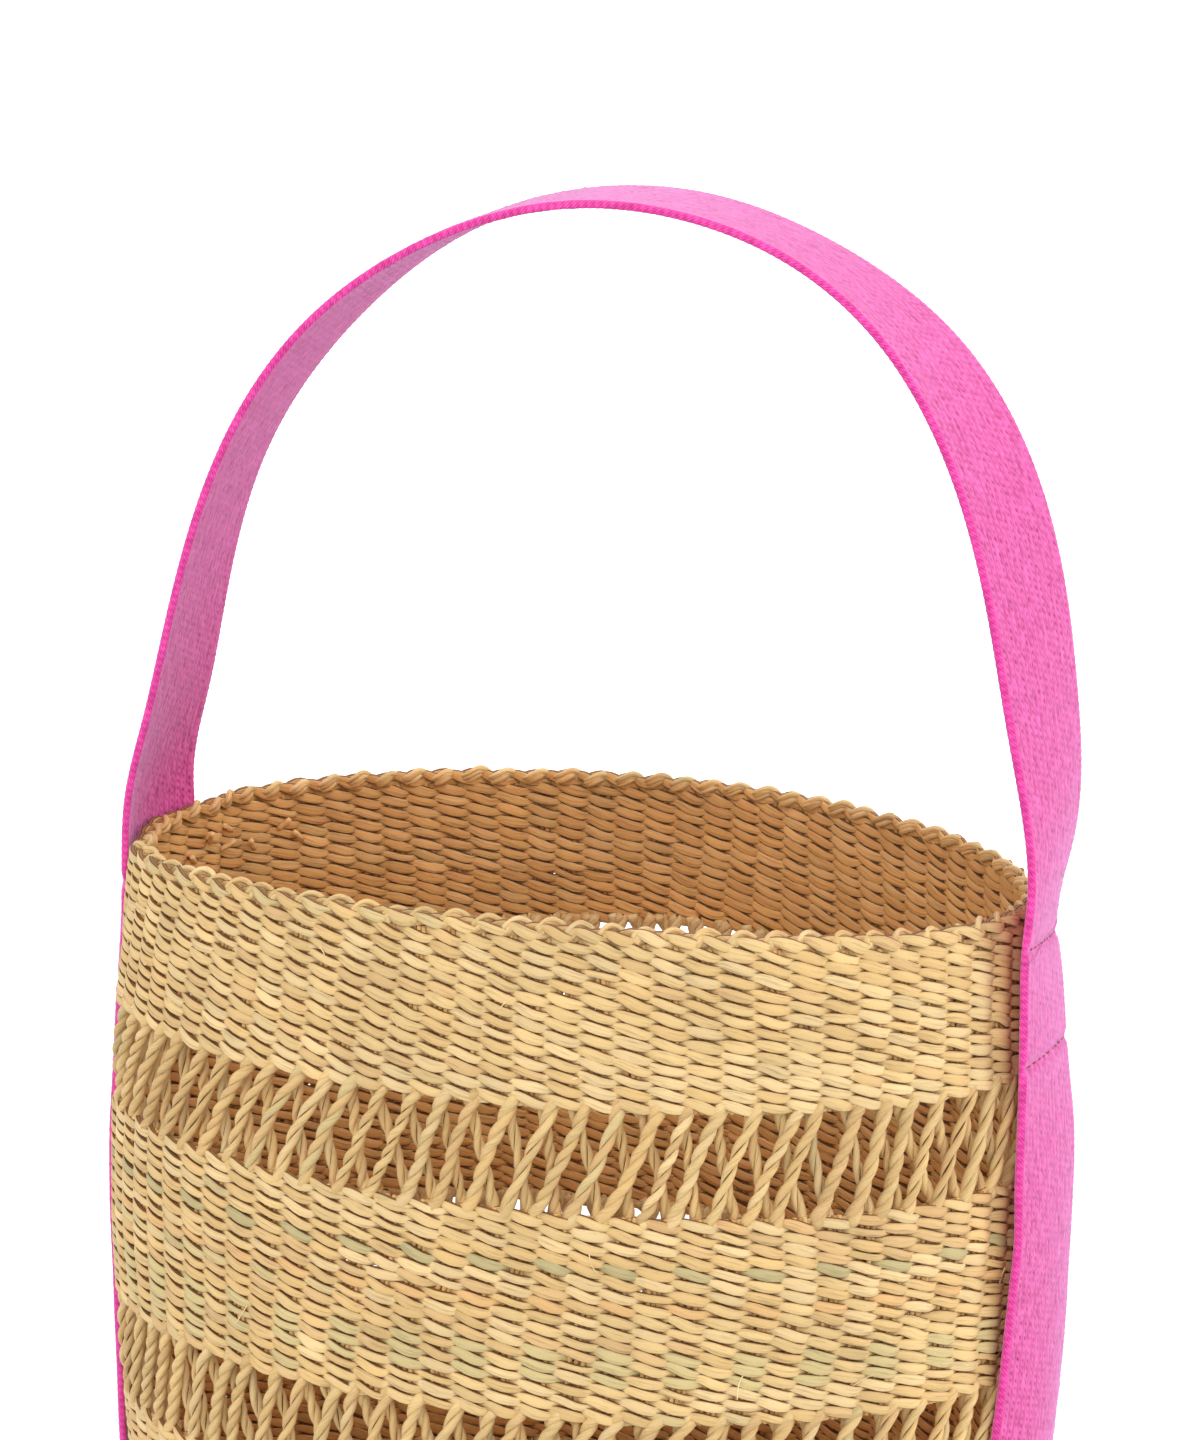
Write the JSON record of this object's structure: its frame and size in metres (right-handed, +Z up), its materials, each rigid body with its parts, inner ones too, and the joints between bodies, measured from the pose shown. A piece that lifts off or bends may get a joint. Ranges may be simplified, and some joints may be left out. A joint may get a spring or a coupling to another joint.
{
  "type": "woven market basket",
  "caption": "Oval market basket of twined grass with openwork bands of crossing ropes, carried by a flat webbing strap that folds down to either side.",
  "frame": {"origin": "on the floor, under the middle of the basket, at the underside of the strap", "axes": "+Z up, X along the oval from one side strap to the other, Y across the oval"},
  "size_m": [0.2774, 0.1766, 0.464],
  "materials": {
    "woven_grass": "matt dried grass, straw coloured",
    "grass_rope": "matt twisted grass rope",
    "webbing": "ribbed pink cotton webbing",
    "thread": "brown waxed thread"
  },
  "bodies": {
    "basket": {"base": "woven_grass", "heel": "woven_grass", "lower_wall": "woven_grass", "third_wall": "woven_grass", "middle_wall": "woven_grass", "top_wall": "woven_grass", "rim_border": "woven_grass", "upper_openwork_outer_ropes": "grass_rope", "middle_openwork_outer_ropes": "grass_rope", "lower_openwork_outer_ropes": "grass_rope", "upper_openwork_inner_ropes": "grass_rope", "middle_openwork_inner_ropes": "grass_rope", "lower_openwork_inner_ropes": "grass_rope", "left_webbing": "webbing", "right_webbing": "webbing", "base_webbing": "webbing", "left_upper_stitches": "thread", "left_lower_stitches": "thread", "right_upper_stitches": "thread", "right_lower_stitches": "thread"},
    "handle": {"handle": "webbing"}
  },
  "joints": [
    {"name": "handle_fold", "type": "hinge", "parent": "basket", "child": "handle", "pos_m": [0, 0, 0.29], "axis": [1, 0, 0], "range_deg": [-80, 80]}
  ]
}
